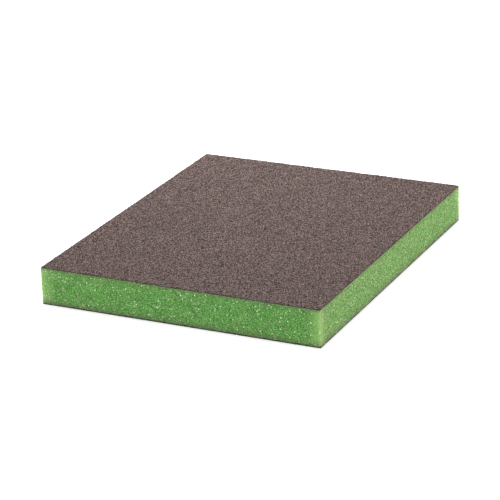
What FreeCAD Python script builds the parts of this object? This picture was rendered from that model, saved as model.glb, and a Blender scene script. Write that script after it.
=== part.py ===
import FreeCAD, Part
import os

# A flexible two-sided sanding pad, lying flat. X is its width, Y its length and Z its thickness.
# The origin is the middle of the face that it lies on. Every length is in millimetres.
WIDTH = 98.0
LENGTH = 120.0
THICKNESS = 13.0

# The layers of one sanding face, named from the foam outwards.
MAKE_COAT = 0.30  # the resin that the grain is bedded in
GRAIN_BED = 0.15  # the abrasive grain itself
SIZE_COAT = 0.05  # the thin resin over the grain, which locks it in
FACE_COATING = MAKE_COAT + GRAIN_BED + SIZE_COAT

FOAM_BOTTOM = FACE_COATING
FOAM_TOP = THICKNESS - FACE_COATING

UP = 1
DOWN = -1


def sheet(one_face, other_face):
    """A sheet cut to the pad's outline, between two heights given in either order."""
    bottom = min(one_face, other_face)
    height = abs(other_face - one_face)
    corner = FreeCAD.Vector(-WIDTH / 2, -LENGTH / 2, bottom)
    return Part.makeBox(WIDTH, LENGTH, height, corner)


def foam_core():
    """The slab of open-cell foam that gives the pad its thickness and its spring."""
    return sheet(FOAM_BOTTOM, FOAM_TOP)


def sanding_face(side, foam_face, outwards):
    """The bonded layers of one sanding face, by name, stacked outwards from a face of the foam."""
    thicknesses = {
        "make_coat": MAKE_COAT,
        "abrasive_grain": GRAIN_BED,
        "size_coat": SIZE_COAT,
    }
    layers = {}
    inner = foam_face
    for layer, thickness in thicknesses.items():
        outer = inner + outwards * thickness
        layers[f"{side}_{layer}"] = sheet(inner, outer)
        inner = outer
    return layers


def sanding_pad():
    """Every piece of the pad, by name."""
    pieces = {"foam_core": foam_core()}
    pieces.update(sanding_face("top", FOAM_TOP, UP))
    pieces.update(sanding_face("bottom", FOAM_BOTTOM, DOWN))
    return pieces


os.makedirs("parts", exist_ok=True)
for name, solid in sanding_pad().items():
    solid.exportStep(f"parts/{name}.step")
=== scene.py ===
import math
from dataclasses import dataclass

import bpy
import numpy as np
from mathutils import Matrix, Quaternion, Vector, noise


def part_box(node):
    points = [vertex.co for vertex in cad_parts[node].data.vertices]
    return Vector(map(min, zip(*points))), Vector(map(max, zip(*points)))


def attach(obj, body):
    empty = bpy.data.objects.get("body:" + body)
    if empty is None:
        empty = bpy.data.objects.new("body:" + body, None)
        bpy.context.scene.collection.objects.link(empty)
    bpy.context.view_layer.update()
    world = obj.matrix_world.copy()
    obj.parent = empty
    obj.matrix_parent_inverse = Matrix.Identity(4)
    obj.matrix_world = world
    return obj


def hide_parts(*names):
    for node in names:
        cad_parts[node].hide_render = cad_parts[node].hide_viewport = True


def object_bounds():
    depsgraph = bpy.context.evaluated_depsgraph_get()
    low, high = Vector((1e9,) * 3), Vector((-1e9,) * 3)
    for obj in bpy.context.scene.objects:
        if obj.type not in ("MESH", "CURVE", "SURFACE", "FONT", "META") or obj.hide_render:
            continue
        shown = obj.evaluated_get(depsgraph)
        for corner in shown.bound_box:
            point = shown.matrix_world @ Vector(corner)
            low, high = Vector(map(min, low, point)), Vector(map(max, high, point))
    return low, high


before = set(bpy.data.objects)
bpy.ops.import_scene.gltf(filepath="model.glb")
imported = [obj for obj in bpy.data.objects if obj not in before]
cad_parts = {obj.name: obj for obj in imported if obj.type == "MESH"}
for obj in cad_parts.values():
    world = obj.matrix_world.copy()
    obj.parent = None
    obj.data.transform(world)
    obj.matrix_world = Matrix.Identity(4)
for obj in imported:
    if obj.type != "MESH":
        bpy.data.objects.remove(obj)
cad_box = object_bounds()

# A flexible two-sided sanding pad: a slab of green open-cell foam, and on each face three bonded
# layers, which are resin, abrasive grain and a thin skin of resin over the grain.
# X is the pad's width, Y its length and Z its thickness. Every length is in metres.
MM = 0.001

# The foam's cut walls: open cells, seen as pits between strands that stand a little proud.
# A pit has its full depth where its own cell's middle is nearer than the next one by PIT_REACH cells.
WALL_STEP = 0.235 * MM
CORNER_RADIUS = 0.30 * MM
CELL = 0.50 * MM
PIT_DEPTH = 0.22 * MM
PIT_REACH = 0.5
PIT_STEEPNESS = 0.7
STRAND_PROUD = 0.09 * MM
WALL_WAVE = 0.06 * MM
WAVE_LENGTH = 6.0 * MM

# The make coat: a resin sheet whose cut edge soaks into the foam's cells.
EDGE_STEP = 0.25 * MM
SOAK_DEPTH = 0.30 * MM
SOAK_WIDTH = 0.60 * MM

# The size coat: a skin of resin that follows the grain under it. Its heights are shares of the
# way from the make coat to the pad's face, and STEP_JITTER is a share of SKIN_STEP.
SKIN_STEP = 0.35 * MM
SKIN_LOW = 0.20
SKIN_HIGH = 0.92
STEP_JITTER = 0.30

# The skin's cut edge: slow waves, small notches, and a skirt that hangs over the resin under it.
# SKIRT_DROP is how much of a face's roll-over the skirt has, from its least to its most, and
# NOISE_SPAN is how far along the noise each edge's waves may start.
EDGE_WAVE = 0.60 * MM
EDGE_WAVE_LENGTH = 1.5 * MM
RAGGED_EDGE = 0.25 * MM
SKIRT_WIDTH = 0.12 * MM
SKIRT_DROP = (0.4, 1.0)
NOISE_SPAN = 1000

# The grain that stands out of the skin. GRAIN_SQUASH is how far a grain's points reach, as
# shares of its size.
GRAINS_PER_FACE = 24000
GRAIN_SIZE = (0.08 * MM, 0.16 * MM)
GRAIN_SQUASH = (0.6, 1.0)

# The foam's colours, and the sizes of what they make up.
FOAM_GREENS = [(0.0, (0.012, 0.070, 0.007)), (0.5, (0.045, 0.220, 0.025)), (1.0, (0.160, 0.490, 0.100))]
FOAM_SPECK = 0.22 * MM
FOAM_PATCH = 5.0 * MM
# Painted glow: a pale green at the slab's upright edges that stands in for light passing through the
# translucent foam there, and how far it reaches.
EDGE_GLOW_GREEN = (0.285, 0.475, 0.145)
EDGE_GLOW_REACH = 6.0 * MM
# Painted glints: pale green and near-white specks that stand in for light caught by torn cell walls.
SMALL_GLINT = (0.460, 0.690, 0.310)
LARGE_GLINT = (0.950, 0.980, 0.700)
GLINT_BRIGHT = 0.3  # of the cells that have a painted glint, the share that show it fully
GLINT_CORE = 0.5  # the share of a painted glint's radius that is at full strength
# A dark resin-stained green; along the lower face it also serves as painted shade where the pad meets the
# table.
STAINED_AND_SHADED_FOAM = (0.075, 0.092, 0.052)
STAIN_JITTER = 0.06

# The resin and the grit.
RESIN_DARK = (0.012, 0.010, 0.008)
RESIN_SPOT = 0.5 * MM
GRIT_PATCH = 9.0 * MM

# The camera: a long lens from in front of the pad's near corner, rolled a little.
SENSOR = 36.0
LENS = 166.2
CAMERA_AZIMUTH = 26.02
CAMERA_ELEVATION = 21.20
CAMERA_DISTANCE = 766.6 * MM
CAMERA_AIM = (0.3 * MM, -7.3 * MM, 0.0)
CAMERA_ROLL = -1.83

FLOOR_SIZE = 8.0  # metres


@dataclass
class SandingFace:
    """One coated face, how the blade that cut the pad left its edge, and the pale end of its resin's
    colour, which on the lower face is painted shade.
    """

    outwards: int
    seed: int
    resin_inset: float
    skin_inset: float
    rolled_over: float
    resin_tone_and_shade: tuple


@dataclass
class Grit:
    """The look of one coat of grit: its tones from dark to light, partly the grains' own tone and partly
    painted shade between grains and painted glints on them, its speck size and its roughness.
    """

    dark: tuple
    middle: tuple
    light: tuple
    speck: float
    roughness: tuple


# The blade came down through the top face: it dragged that skin over the edge and frayed the resin under
# it, so that foam shows through. It left the lower face's resin bare, and that resin's colour is darkened
# as painted shade along the pad's bottom edge.
SANDING_FACES = {
    "top": SandingFace(
        outwards=1,
        seed=11,
        resin_inset=0.14 * MM,
        skin_inset=0.0,
        rolled_over=0.16 * MM,
        resin_tone_and_shade=(0.100, 0.125, 0.060),
    ),
    "bottom": SandingFace(
        outwards=-1,
        seed=23,
        resin_inset=0.0,
        skin_inset=0.12 * MM,
        rolled_over=0.0,
        # Painted shade: the lower face's resin is darkened to stand for the shade along the pad's bottom
        # edge.
        resin_tone_and_shade=(0.026, 0.024, 0.018),
    ),
}

# Grit tones: the near-black end partly stands for painted shade between grains, and the pale end partly for
# painted glints on them.
SKIN_GRIT = Grit(
    dark=(0.010, 0.003, 0.002),
    middle=(0.030, 0.018, 0.016),
    light=(0.324, 0.219, 0.198),
    speck=0.24 * MM,
    roughness=(0.55, 0.95),
)
GRAIN_GRIT = Grit(
    dark=(0.012, 0.004, 0.003),
    middle=(0.044, 0.026, 0.023),
    light=(0.354, 0.244, 0.218),
    speck=0.30 * MM,
    roughness=(0.35, 0.80),
)


def new_piece(name, vertices, faces, material):
    """A mesh object from lists of points and of faces."""
    mesh = bpy.data.meshes.new(name)
    mesh.from_pydata(vertices.tolist(), [], faces)
    mesh.materials.append(material)
    mesh.update()
    piece = bpy.data.objects.new(name, mesh)
    bpy.context.scene.collection.objects.link(piece)
    return piece


def stand_for(piece, node):
    """The piece rides on the pad and is shown in place of one CAD node."""
    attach(piece, "root")
    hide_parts(node)


def outline(low, high, radius, step):
    """Points round a rectangle with rounded corners, and the outward direction at each point."""
    corners = [
        np.array((low.x + radius, low.y + radius)),
        np.array((high.x - radius, low.y + radius)),
        np.array((high.x - radius, high.y - radius)),
        np.array((low.x + radius, high.y - radius)),
    ]
    arc_points = max(2, round(math.pi / 2 * radius / step))
    points = []
    outwards = []
    for side in range(4):
        start = corners[side]
        end = corners[(side + 1) % 4]
        facing = (side - 1) * math.pi / 2
        side_points = round(float(np.linalg.norm(end - start)) / step)
        outward = np.array((math.cos(facing), math.sin(facing)))
        for share in np.arange(side_points) / side_points:
            points.append(start + (end - start) * share + radius * outward)
            outwards.append(outward)
        for share in np.arange(arc_points) / arc_points:
            angle = facing + share * math.pi / 2
            outward = np.array((math.cos(angle), math.sin(angle)))
            points.append(end + radius * outward)
            outwards.append(outward)
    return np.array(points), np.array(outwards)


def ring_solid(rings):
    """A closed solid from rings of points stacked upwards, with a fan of triangles over each end."""
    count = len(rings[0])
    low_centre = rings[0].mean(axis=0)
    high_centre = rings[-1].mean(axis=0)
    vertices = np.vstack([*rings, low_centre, high_centre])
    faces = []
    for level in range(len(rings) - 1):
        below = level * count
        above = below + count
        for i in range(count):
            j = (i + 1) % count
            faces.append((below + i, below + j, above + j, above + i))
    last = (len(rings) - 1) * count
    centre = len(rings) * count
    for i in range(count):
        j = (i + 1) % count
        faces.append((j, i, centre))
        faces.append((last + i, last + j, centre + 1))
    return vertices, faces


def pit(point):
    """How deep a cut cell is at a point of the wall, from 0 on the strands between cells to 1."""
    distances, _ = noise.voronoi(point / CELL)
    from_strand = (distances[1] - distances[0]) / PIT_REACH
    return min(1.0, from_strand) ** PIT_STEEPNESS


def foam_walls(low, high):
    """The foam slab: its top and bottom are covered, and its four cut walls are open cells."""
    ring, outwards = outline(low, high, CORNER_RADIUS, WALL_STEP)
    levels = round((high.z - low.z) / WALL_STEP)
    rings = []
    for level in range(levels + 1):
        z = low.z + (high.z - low.z) * level / levels
        points = []
        for (x, y), (out_x, out_y) in zip(ring, outwards):
            place = Vector((x, y, z))
            proud = STRAND_PROUD - PIT_DEPTH * pit(place) + WALL_WAVE * noise.noise(place / WAVE_LENGTH)
            points.append((x + proud * out_x, y + proud * out_y, z))
        rings.append(np.array(points))
    return ring_solid(rings)


def resin_sheet(face, foam_face, outer_face, low, high, random):
    """The make coat: even over the foam, and soaked unevenly into the cells along its cut edge."""
    path, facing = outline(low, high, CORNER_RADIUS, EDGE_STEP)
    count = len(path)
    edge = path - facing * face.resin_inset
    inner_edge = path - facing * SOAK_WIDTH
    soaked = foam_face - face.outwards * SOAK_DEPTH * random.random((count, 1)) ** 2
    flat = np.ones((count, 1))
    rings = [
        np.hstack([inner_edge, flat * foam_face]),
        np.hstack([edge, soaked]),
        np.hstack([edge, flat * outer_face]),
    ]
    if face.outwards < 0:
        rings.reverse()
    return ring_solid(rings)


def edge_insets(count, inset, random):
    """How far the skin's cut edge stands in from the pad's outline, with slow waves and small notches."""
    places = np.arange(count) * SKIN_STEP / EDGE_WAVE_LENGTH
    start = random.uniform(0, NOISE_SPAN)
    waves = np.array([noise.noise(Vector((start + place, 0, 0))) for place in places])
    return inset + EDGE_WAVE * np.abs(waves) + RAGGED_EDGE * random.random(count)


def skin_surface(face, inner_face, outer_face, low, high, random):
    """A grid of points over one face, each at the height of the grain under it."""
    across = round((high.x - low.x) / SKIN_STEP)
    along = round((high.y - low.y) / SKIN_STEP)
    x, y = np.meshgrid(
        np.linspace(low.x, high.x, across + 1),
        np.linspace(low.y, high.y, along + 1),
        indexing="ij",
    )
    inside = (across - 1, along - 1)
    x[1:-1, 1:-1] += random.uniform(-STEP_JITTER, STEP_JITTER, inside) * SKIN_STEP
    y[1:-1, 1:-1] += random.uniform(-STEP_JITTER, STEP_JITTER, inside) * SKIN_STEP
    x[0, :] += edge_insets(along + 1, face.skin_inset, random)
    x[-1, :] -= edge_insets(along + 1, face.skin_inset, random)
    y[:, 0] += edge_insets(across + 1, face.skin_inset, random)
    y[:, -1] -= edge_insets(across + 1, face.skin_inset, random)
    share = random.uniform(SKIN_LOW, SKIN_HIGH, x.shape)
    z = inner_face + (outer_face - inner_face) * share
    return x, y, z


def skin_sheet(face, inner_face, outer_face, low, high, random):
    """The size coat: a closed sheet whose outer face follows the grain, with a skirt at its edge."""
    x, y, z = skin_surface(face, inner_face, outer_face, low, high, random)
    surface = np.stack([x.ravel(), y.ravel(), z.ravel()], axis=1)
    number = np.arange(x.size).reshape(x.shape)
    first = number[:-1, :-1].ravel()
    row = x.shape[1]
    faces = np.stack([first, first + row, first + row + 1, first + 1], axis=1).tolist()

    rim = np.concatenate([number[:-1, 0], number[-1, :-1], number[:0:-1, -1], number[0, :0:-1]])
    count = len(rim)
    middle = np.array([(low.x + high.x) / 2, (low.y + high.y) / 2, inner_face])
    skirt = surface[rim]
    skirt[:, 2] = inner_face - face.outwards * face.rolled_over * random.uniform(*SKIRT_DROP, count)
    underside = middle + (skirt - middle) * (1 - SKIRT_WIDTH / high.x)
    underside[:, 2] = inner_face
    vertices = np.vstack([surface, skirt, underside, middle])
    skirt_first = x.size
    under_first = skirt_first + count
    centre = under_first + count
    for i in range(count):
        j = (i + 1) % count
        faces.append((skirt_first + i, skirt_first + j, int(rim[j]), int(rim[i])))
        faces.append((under_first + i, under_first + j, skirt_first + j, skirt_first + i))
        faces.append((under_first + j, under_first + i, centre))
    if face.outwards < 0:
        faces = [polygon[::-1] for polygon in faces]
    return vertices, faces


def grain_bed(face, inner_face, outer_face, low, high, random):
    """Thousands of separate sharp grains, each an eight-sided chip turned its own way."""
    chip = np.array([(1, 0, 0), (-1, 0, 0), (0, 1, 0), (0, -1, 0), (0, 0, 1), (0, 0, -1)], float)
    upper_sides = [(0, 2, 4), (2, 1, 4), (1, 3, 4), (3, 0, 4)]
    lower_sides = [(2, 0, 5), (1, 2, 5), (3, 1, 5), (0, 3, 5)]
    sides = np.array(upper_sides + lower_sides)
    count = GRAINS_PER_FACE
    size = random.uniform(*GRAIN_SIZE, (count, 1, 1))
    shapes = chip * random.uniform(*GRAIN_SQUASH, (count, len(chip), 1)) * size
    turns, _ = np.linalg.qr(random.normal(size=(count, 3, 3)))
    turns *= np.linalg.det(turns)[:, None, None]
    shapes = shapes @ turns
    reach = np.abs(shapes[:, :, 2]).max(axis=1)
    middles = np.stack(
        [
            random.uniform(low.x + GRAIN_SIZE[1], high.x - GRAIN_SIZE[1], count),
            random.uniform(low.y + GRAIN_SIZE[1], high.y - GRAIN_SIZE[1], count),
            outer_face - face.outwards * reach,
        ],
        axis=1,
    )
    vertices = (shapes + middles[:, None, :]).reshape(-1, 3)
    faces = (sides + len(chip) * np.arange(count)[:, None, None]).reshape(-1, 3).tolist()
    return vertices, faces


class Nodes:
    """A short way to add shader nodes and join them."""

    def __init__(self, name):
        self.material = bpy.data.materials.new(name)
        self.material.use_nodes = True
        self.tree = self.material.node_tree
        self.shader = self.tree.nodes["Principled BSDF"]
        self.place = self.add("ShaderNodeTexCoord").outputs["Object"]

    def add(self, kind, **settings):
        node = self.tree.nodes.new(kind)
        for key, value in settings.items():
            setattr(node, key, value)
        return node

    def join(self, source, target):
        self.tree.links.new(source, target)

    def cells(self, size):
        """Random cells of one size, in metres."""
        node = self.add("ShaderNodeTexVoronoi")
        node.inputs["Scale"].default_value = 1 / size
        self.join(self.place, node.inputs["Vector"])
        return node

    def clouds(self, size):
        """Soft random patches of one size, in metres."""
        node = self.add("ShaderNodeTexNoise")
        node.inputs["Scale"].default_value = 1 / size
        self.join(self.place, node.inputs["Vector"])
        return node

    def ramp(self, source, stops):
        """Colours, or grey numbers, along a value from 0 to 1."""
        node = self.add("ShaderNodeValToRGB")
        elements = node.color_ramp.elements
        while len(elements) < len(stops):
            elements.new(0.5)
        for element, (position, colour) in zip(elements, stops):
            element.position = position
            element.color = (*colour, 1) if isinstance(colour, tuple) else (colour, colour, colour, 1)
        self.join(source, node.inputs["Fac"])
        return node.outputs["Color"]

    def mix(self, share, first, second, blend="MIX"):
        """Two colours mixed, or multiplied, by a share that is a number or a socket."""
        node = self.add("ShaderNodeMix", data_type="RGBA", blend_type=blend)
        for socket, value in ((node.inputs[0], share), (node.inputs[6], first), (node.inputs[7], second)):
            if isinstance(value, bpy.types.NodeSocket):
                self.join(value, socket)
            else:
                socket.default_value = value if isinstance(value, float) else (*value, 1)
        return node.outputs[2]

    def arithmetic(self, operation, *values):
        """A sum on numbers and sockets."""
        node = self.add("ShaderNodeMath", operation=operation)
        for socket, value in zip(node.inputs, values):
            if isinstance(value, bpy.types.NodeSocket):
                self.join(value, socket)
            else:
                socket.default_value = value
        return node.outputs[0]

    def chance(self, cells, draw):
        """One random number from 0 to 1 for each cell, and another one for each draw.

        A cell's own colour repeats where its middle lies, so that alone would differ from wall to wall.
        """
        node = self.add("ShaderNodeTexWhiteNoise", noise_dimensions="4D")
        node.inputs["W"].default_value = draw
        self.join(cells.outputs["Color"], node.inputs["Vector"])
        return node.outputs["Value"]

    def bump(self, height, depth):
        """Fine relief from a height, with its depth in metres."""
        node = self.add("ShaderNodeBump")
        node.inputs["Distance"].default_value = depth
        self.join(height, node.inputs["Height"])
        self.join(node.outputs["Normal"], self.shader.inputs["Normal"])

    def set(self, **values):
        """Plain values on the shader's own sockets."""
        for key, value in values.items():
            self.shader.inputs[key.replace("_", " ")].default_value = value


def edge_nearness(foam, low, high, reach):
    """1 at the slab's upright edges, and 0 from a certain reach away from them along the walls."""
    split = foam.add("ShaderNodeSeparateXYZ")
    foam.join(foam.place, split.inputs[0])
    across = foam.arithmetic("ABSOLUTE", split.outputs["X"])
    along = foam.arithmetic("ABSOLUTE", split.outputs["Y"])
    from_x = foam.arithmetic("SUBTRACT", (high.x - low.x) / 2, across)
    from_y = foam.arithmetic("SUBTRACT", (high.y - low.y) / 2, along)
    furthest = foam.arithmetic("MAXIMUM", from_x, from_y)
    return foam.arithmetic("SUBTRACT", 1.0, foam.arithmetic("DIVIDE", furthest, reach))


def height_share(foam, low, high):
    """0 at the slab's lower face, and 1 at its upper one."""
    split = foam.add("ShaderNodeSeparateXYZ")
    foam.join(foam.place, split.inputs[0])
    above = foam.arithmetic("SUBTRACT", split.outputs["Z"], low.z)
    return foam.arithmetic("DIVIDE", above, high.z - low.z)


def painted_glints(foam, spacing, share, radius):
    """Painted glints: white spots that stand in for light caught by a torn cell membrane. share is how many
    cells have one.
    """
    cells = foam.cells(spacing)
    chosen = foam.ramp(foam.chance(cells, 1), [(1 - share, 0.0), (1 - share * GLINT_BRIGHT, 1.0)])
    near = foam.ramp(cells.outputs["Distance"], [(radius * GLINT_CORE, 1.0), (radius, 0.0)])
    return foam.mix(1.0, chosen, near, "MULTIPLY")


def foam_colour(foam, cells):
    """A green for every cell, a little lighter or darker in soft patches."""
    colour = foam.ramp(foam.chance(cells, 2), FOAM_GREENS)
    patches = foam.clouds(FOAM_PATCH)
    mottle = foam.ramp(patches.outputs["Fac"], [(0.3, 0.93), (0.7, 1.06)])
    return foam.mix(1.0, colour, mottle, "MULTIPLY")


def painted_edge_glow(foam, low, high):
    """How much painted glow shows, standing in for light that passes through the translucent foam: most at
    the slab's upright edges.
    """
    nearness = edge_nearness(foam, low, high, EDGE_GLOW_REACH)
    return foam.ramp(nearness, [(0.0, 0.0), (0.35, 0.08), (0.70, 0.36), (0.95, 0.70)])


def resin_stain_and_shade(foam, cells, low, high):
    """How much resin stain and painted shade darken the foam: resin soak near both faces, and a wider,
    stronger band of painted contact shade along its lower face.
    """
    jitter = foam.arithmetic("MULTIPLY", foam.chance(cells, 3), STAIN_JITTER)
    height = foam.arithmetic("ADD", height_share(foam, low, high), jitter)
    return foam.ramp(height, [(0.02, 0.70), (0.20, 0.0), (0.89, 0.0), (0.97, 0.16), (1.0, 0.40)])


def foam_material(low, high):
    """Green open-cell foam: translucent, with a painted glow at its upright edges and painted glints,
    stained by resin near its faces, and with painted shade along its lower face.
    """
    foam = Nodes("green_foam")
    cells = foam.cells(FOAM_SPECK)
    small = painted_glints(foam, 0.45 * MM, share=0.50, radius=0.36)
    large = painted_glints(foam, 0.90 * MM, share=0.42, radius=0.29)

    colour = foam_colour(foam, cells)
    # Painted glow of light through the foam at its upright edges.
    colour = foam.mix(painted_edge_glow(foam, low, high), colour, EDGE_GLOW_GREEN)
    # Painted glints over the foam's colour.
    colour = foam.mix(small, colour, SMALL_GLINT)
    colour = foam.mix(large, colour, LARGE_GLINT)
    # Resin stain near both faces, and painted contact shade along the lower face.
    colour = foam.mix(resin_stain_and_shade(foam, cells, low, high), colour, STAINED_AND_SHADED_FOAM)

    foam.join(colour, foam.shader.inputs["Base Color"])
    foam.join(foam.ramp(large, [(0.0, 0.75), (1.0, 0.25)]), foam.shader.inputs["Roughness"])
    foam.set(Subsurface_Weight=0.35, Subsurface_Scale=1.0 * MM, Subsurface_Radius=(3.0, 4.6, 2.2))
    foam.set(Sheen_Weight=1.0, Sheen_Roughness=0.4, Sheen_Tint=(1.0, 0.92, 0.50, 1))
    foam.set(Specular_IOR_Level=0.35)
    foam.bump(cells.outputs["Distance"], depth=0.12 * MM)
    return foam.material


def resin_material(name, light):
    """Cured dark brown resin, with small lighter spots where it has filled a cell."""
    resin = Nodes(name)
    spots = resin.clouds(RESIN_SPOT).outputs["Fac"]
    resin.join(resin.ramp(spots, [(0.3, RESIN_DARK), (0.7, light)]), resin.shader.inputs["Base Color"])
    resin.join(resin.ramp(spots, [(0.3, 0.45), (0.7, 0.75)]), resin.shader.inputs["Roughness"])
    resin.set(Specular_IOR_Level=0.2)
    resin.bump(spots, depth=0.05 * MM)
    return resin.material


def grit_material(name, look):
    """Brown grit: every grain has its own tone, whose near-black and pale ends are partly painted shade and
    painted glints, and its own small tilt to the light.
    """
    grit = Nodes(name)
    grains = grit.cells(look.speck)
    colour = grit.ramp(grit.chance(grains, 1), [(0.0, look.dark), (0.5, look.middle), (1.0, look.light)])
    patches = grit.clouds(GRIT_PATCH)
    mottle = grit.ramp(patches.outputs["Fac"], [(0.3, 0.98), (0.7, 1.02)])
    smooth, rough = look.roughness
    roughness = grit.ramp(grit.chance(grains, 2), [(0.0, smooth), (1.0, rough)])
    grit.join(grit.mix(1.0, colour, mottle, "MULTIPLY"), grit.shader.inputs["Base Color"])
    grit.join(roughness, grit.shader.inputs["Roughness"])
    grit.set(Specular_IOR_Level=0.13)
    grit.bump(grit.chance(grains, 3), depth=0.08 * MM)
    return grit.material


def build_foam():
    low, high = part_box("foam_core")
    vertices, faces = foam_walls(low, high)
    foam = new_piece("foam_core_open_cells", vertices, faces, foam_material(low, high))
    stand_for(foam, "foam_core")


def build_sanding_face(side, face, skin, grain):
    """The resin, the skin over the grain and the grain itself, each in place of its own CAD node."""
    random = np.random.default_rng(face.seed)
    # Each face gets its own resin copy; the lower face's copy is darker as painted shade.
    resin = resin_material(f"{side}_make_coat_resin", face.resin_tone_and_shade)
    makers = {
        "make_coat": (resin_sheet, resin),
        "size_coat": (skin_sheet, skin),
        "abrasive_grain": (grain_bed, grain),
    }
    foam_low, foam_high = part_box("foam_core")
    resin_low, resin_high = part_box(f"{side}_make_coat")
    size_low, size_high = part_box(f"{side}_size_coat")
    foam_face = foam_high.z if face.outwards > 0 else foam_low.z
    resin_face = resin_high.z if face.outwards > 0 else resin_low.z
    pad_face = size_high.z if face.outwards > 0 else size_low.z
    for layer, (make, material) in makers.items():
        node = f"{side}_{layer}"
        low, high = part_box(node)
        inner, outer = (foam_face, resin_face) if layer == "make_coat" else (resin_face, pad_face)
        vertices, polygons = make(face, inner, outer, low, high, random)
        piece = new_piece(f"{node}_layer", vertices, polygons, material)
        stand_for(piece, node)


def build_floor():
    """A plain pale table that also glows a little, so that it stays white round the pad."""
    bpy.ops.mesh.primitive_plane_add(size=FLOOR_SIZE, location=(0, 0, 0))
    floor = bpy.context.object
    floor.name = "floor"
    white = Nodes("white_table")
    white.set(Base_Color=(0.85, 0.85, 0.85, 1), Roughness=0.9, Specular_IOR_Level=0.0)
    white.set(Emission_Color=(1, 1, 1, 1), Emission_Strength=0.42)
    floor.data.materials.append(white.material)


def area_light(name, target, azimuth, elevation, distance, size, power):
    """A square soft box that faces the pad."""
    light = bpy.data.lights.new(name, "AREA")
    light.size = size
    light.energy = power
    lamp = bpy.data.objects.new(name, light)
    bpy.context.scene.collection.objects.link(lamp)
    back = direction(azimuth, elevation)
    lamp.location = target + distance * back
    lamp.rotation_mode = "QUATERNION"
    lamp.rotation_quaternion = (-back).to_track_quat("-Z", "Y")


def direction(azimuth, elevation):
    """From the pad towards a place round it. Azimuth 0 is towards -Y and 90 towards +X, in degrees."""
    turn = math.radians(azimuth)
    rise = math.radians(elevation)
    level = math.cos(rise)
    return Vector((math.sin(turn) * level, -math.cos(turn) * level, math.sin(rise)))


def build_lights(target):
    world = bpy.data.worlds.new("studio")
    world.use_nodes = True
    background = world.node_tree.nodes["Background"]
    background.inputs["Color"].default_value = (1, 1, 1, 1)
    background.inputs["Strength"].default_value = 1.05
    bpy.context.scene.world = world
    area_light("back_soft_box", target, azimuth=206, elevation=42, distance=0.25, size=0.22, power=0.60)
    area_light("right_soft_box", target, azimuth=95, elevation=25, distance=1.2, size=1.0, power=0.70)


def build_camera(target):
    """Looks down on the pad's near corner through a long lens."""
    camera = bpy.data.objects.new("camera", bpy.data.cameras.new("camera"))
    bpy.context.scene.collection.objects.link(camera)
    camera.data.sensor_width = SENSOR
    camera.data.lens = LENS
    back = direction(CAMERA_AZIMUTH, CAMERA_ELEVATION)
    camera.location = target + Vector(CAMERA_AIM) + CAMERA_DISTANCE * back
    camera.rotation_mode = "QUATERNION"
    level = (-back).to_track_quat("-Z", "Y")
    camera.rotation_quaternion = level @ Quaternion((0, 0, 1), math.radians(CAMERA_ROLL))
    bpy.context.scene.camera = camera


centre = (cad_box[0] + cad_box[1]) / 2
bpy.context.scene.view_settings.view_transform = "Standard"
build_camera(centre)
build_lights(centre)
build_floor()
build_foam()
skin = grit_material("size_coat_skin", SKIN_GRIT)
grain = grit_material("abrasive_grain", GRAIN_GRIT)
for side, face in SANDING_FACES.items():
    build_sanding_face(side, face, skin, grain)
